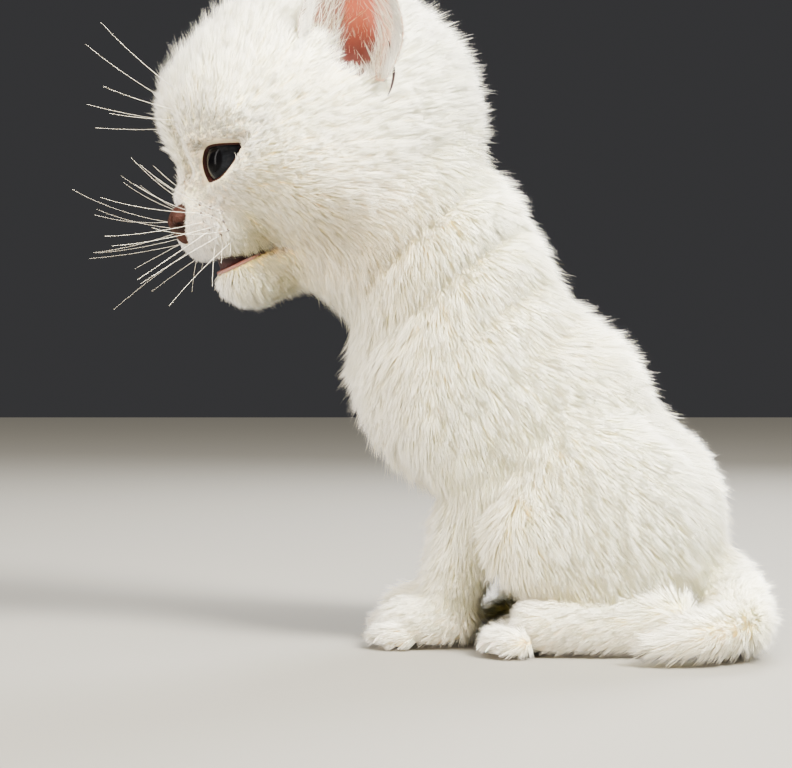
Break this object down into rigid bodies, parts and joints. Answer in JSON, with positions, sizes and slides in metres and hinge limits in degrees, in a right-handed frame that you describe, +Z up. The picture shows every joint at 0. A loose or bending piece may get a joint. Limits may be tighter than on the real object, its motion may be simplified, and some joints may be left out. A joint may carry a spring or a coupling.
{
  "type": "munchkin kitten",
  "caption": "Young white short-legged kitten sitting upright with its head level, mouth a little open and its tail laid round its side.",
  "frame": {"origin": "on the floor, under the middle of the kitten's outline", "axes": "+Z up, the kitten faces -X, its left side is -Y"},
  "size_m": [0.1466, 0.0862, 0.1465],
  "materials": {
    "coat": "soft short plush fur",
    "ear_skin": "thin bare skin",
    "lip_skin": "pale downy skin",
    "nose_leather": "moist",
    "eye": "wet and clear"
  },
  "bodies": {
    "root": {"head": "coat", "whisker_pad_left": "coat", "whisker_pad_right": "coat", "neck": "coat", "torso": "coat", "foreleg_left": "coat", "foreleg_right": "coat", "forepaw_left": "coat", "forepaw_right": "coat", "thigh_left": "coat", "thigh_right": "coat", "hindfoot_left": "coat", "hindfoot_right": "coat", "tail_1": "coat", "tail_2": "coat", "tail_3": "coat", "lower_jaw": "lip_skin", "nose": "nose_leather", "ear_left": "ear_skin", "ear_right": "ear_skin", "eye_left": "eye", "eye_right": "eye"}
  },
  "joints": []
}
